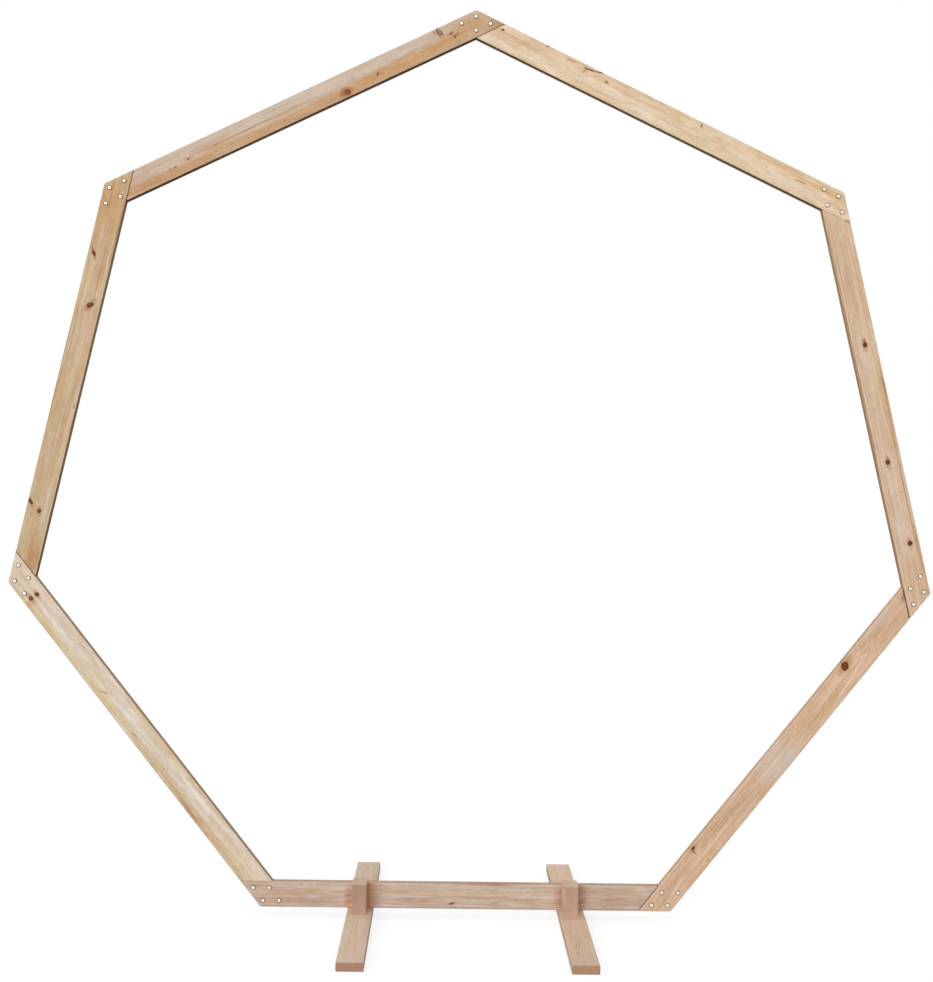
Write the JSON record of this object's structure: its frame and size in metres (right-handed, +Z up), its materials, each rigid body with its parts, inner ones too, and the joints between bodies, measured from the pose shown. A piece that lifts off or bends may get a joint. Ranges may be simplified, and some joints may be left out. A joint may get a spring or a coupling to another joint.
{
  "type": "wedding arch",
  "caption": "Free-standing seven-sided ring of flat pine boards with half-lapped, screwed corners, on two flat feet that run front to back.",
  "frame": {"origin": "on the floor under the middle of the ring, half way through the thickness of its boards", "axes": "+X across the arch to the right as seen from the front, -Y out of the front, +Z up"},
  "size_m": [2.1986, 0.7, 2.164],
  "materials": {
    "pine": "planed, clear matt",
    "zinc_screw": "bright zinc plated"
  },
  "bodies": {
    "root": {"left_roof_beam": "pine", "upper_left_beam": "pine", "lower_left_beam": "pine", "bottom_beam": "pine", "lower_right_beam": "pine", "upper_right_beam": "pine", "right_roof_beam": "pine", "left_foot": "pine", "right_foot": "pine", "left_block": "pine", "right_block": "pine", "apex_screws": "zinc_screw", "upper_left_screws": "zinc_screw", "left_screws": "zinc_screw", "bottom_left_screws": "zinc_screw", "bottom_right_screws": "zinc_screw", "right_screws": "zinc_screw", "upper_right_screws": "zinc_screw", "left_block_screws": "zinc_screw", "right_block_screws": "zinc_screw", "left_foot_screws": "zinc_screw", "right_foot_screws": "zinc_screw"}
  },
  "joints": []
}
